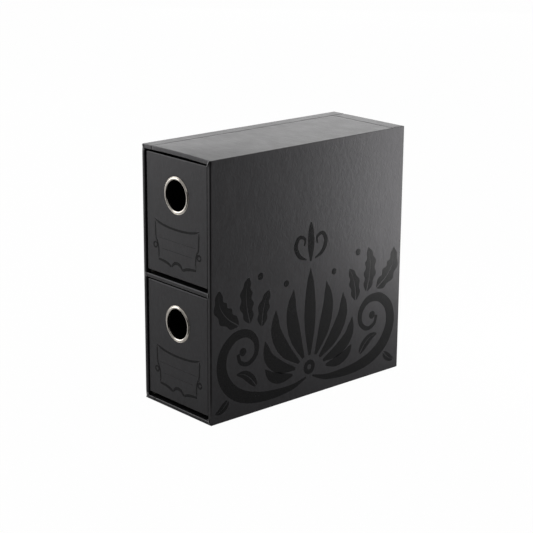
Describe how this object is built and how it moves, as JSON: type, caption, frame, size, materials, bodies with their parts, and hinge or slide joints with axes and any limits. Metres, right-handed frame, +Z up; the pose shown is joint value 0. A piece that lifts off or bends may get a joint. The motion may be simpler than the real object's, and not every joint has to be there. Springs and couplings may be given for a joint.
{
  "type": "card box with drawers",
  "caption": "Upright covered-board slipcase for collectable cards, with open-topped drawers one above the other that pull out by metal finger rings.",
  "frame": {"origin": "middle of the face that the box stands on", "axes": "+Z up, the drawers open towards -Y, +X to the right when facing the drawers"},
  "size_m": [0.081, 0.203, 0.205],
  "materials": {
    "case_cover": "black embossed covering paper, satin",
    "case_lining": "black lining paper, matt",
    "case_base": "black base sheet, matt",
    "greyboard": "bare greyboard, seen only at the seams",
    "drawer_front": "black covering paper with a printed label frame, satin",
    "drawer_wrap": "black covering paper, satin",
    "drawer_lining": "black lining paper, matt",
    "ring_metal": "polished nickel plate"
  },
  "bodies": {
    "case": {"case_left_board": "greyboard", "case_right_board": "greyboard", "case_top_board": "greyboard", "case_bottom_board": "greyboard", "case_back_board": "greyboard", "case_divider_board": "greyboard", "case_wrap_cover": "case_cover", "case_left_cover": "case_cover", "case_back_cover": "case_cover", "case_divider_edge_cover": "case_cover", "case_upper_lining": "case_lining", "case_lower_lining": "case_lining", "case_base_sheet": "case_base"},
    "upper_drawer": {"upper_drawer_front_board": "greyboard", "upper_drawer_front_cover": "drawer_front", "upper_drawer_left_board": "greyboard", "upper_drawer_right_board": "greyboard", "upper_drawer_back_board": "greyboard", "upper_drawer_bottom_board": "greyboard", "upper_drawer_bottom_sheet": "drawer_wrap", "upper_drawer_wrap": "drawer_wrap", "upper_drawer_lining": "drawer_lining", "upper_drawer_finger_ring": "ring_metal", "upper_drawer_ring_washer": "ring_metal"},
    "lower_drawer": {"lower_drawer_front_board": "greyboard", "lower_drawer_front_cover": "drawer_front", "lower_drawer_left_board": "greyboard", "lower_drawer_right_board": "greyboard", "lower_drawer_back_board": "greyboard", "lower_drawer_bottom_board": "greyboard", "lower_drawer_bottom_sheet": "drawer_wrap", "lower_drawer_wrap": "drawer_wrap", "lower_drawer_lining": "drawer_lining", "lower_drawer_finger_ring": "ring_metal", "lower_drawer_ring_washer": "ring_metal"}
  },
  "joints": [
    {"name": "upper_drawer_slide", "type": "slide", "parent": "case", "child": "upper_drawer", "axis": [0, -1, 0], "range_m": [0, 0.178]},
    {"name": "lower_drawer_slide", "type": "slide", "parent": "case", "child": "lower_drawer", "axis": [0, -1, 0], "range_m": [0, 0.178]}
  ]
}
